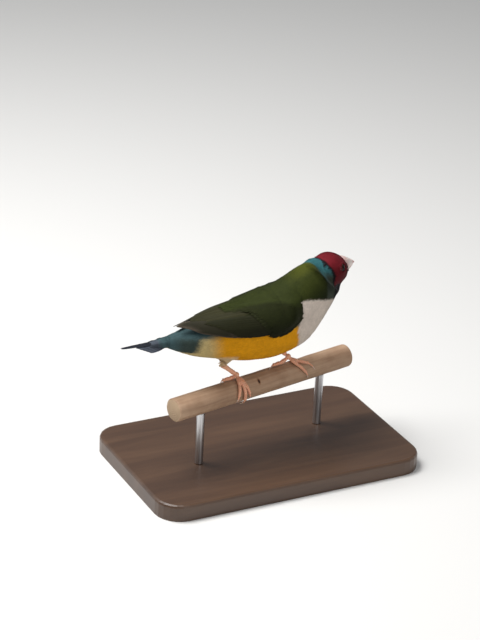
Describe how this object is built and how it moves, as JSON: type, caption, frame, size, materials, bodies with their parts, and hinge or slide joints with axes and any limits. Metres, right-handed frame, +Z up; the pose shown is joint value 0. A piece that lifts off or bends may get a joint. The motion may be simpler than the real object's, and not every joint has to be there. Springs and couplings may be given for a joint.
{
  "type": "gouldian finch",
  "caption": "Still, life-size gouldian finch with folded wings and pointed tail, gripping a short cut length of wooden perch held by a plain display stand.",
  "frame": {"origin": "middle of the underside of the stand's base, straight under the middle of the perch", "axes": "+X along the body towards the head, +Y to the bird's left, +Z up"},
  "size_m": [0.141, 0.084, 0.1],
  "materials": {
    "plumage_green": "soft feather",
    "plumage_red": "soft feather",
    "plumage_belly": "soft feather",
    "plumage_wing": "smooth feather",
    "plumage_tail": "smooth feather",
    "bill_horn": "satin horn",
    "eye": "glossy dark",
    "leg_skin": "scaled skin",
    "perch_wood": "bare, worn",
    "stand_wood": "satin stain",
    "stand_steel": "brushed"
  },
  "bodies": {
    "root": {"head": "plumage_red", "neck": "plumage_green", "torso": "plumage_belly", "wing_left": "plumage_wing", "wing_right": "plumage_wing", "tail": "plumage_tail", "thigh_left": "plumage_belly", "thigh_right": "plumage_belly", "shank_left": "leg_skin", "shank_right": "leg_skin", "foot_left": "leg_skin", "foot_right": "leg_skin", "bill_upper": "bill_horn", "bill_lower": "bill_horn", "eye_left": "eye", "eye_right": "eye", "perch": "perch_wood", "stand_base": "stand_wood", "stand_rod_a": "stand_steel", "stand_rod_b": "stand_steel"}
  },
  "joints": []
}
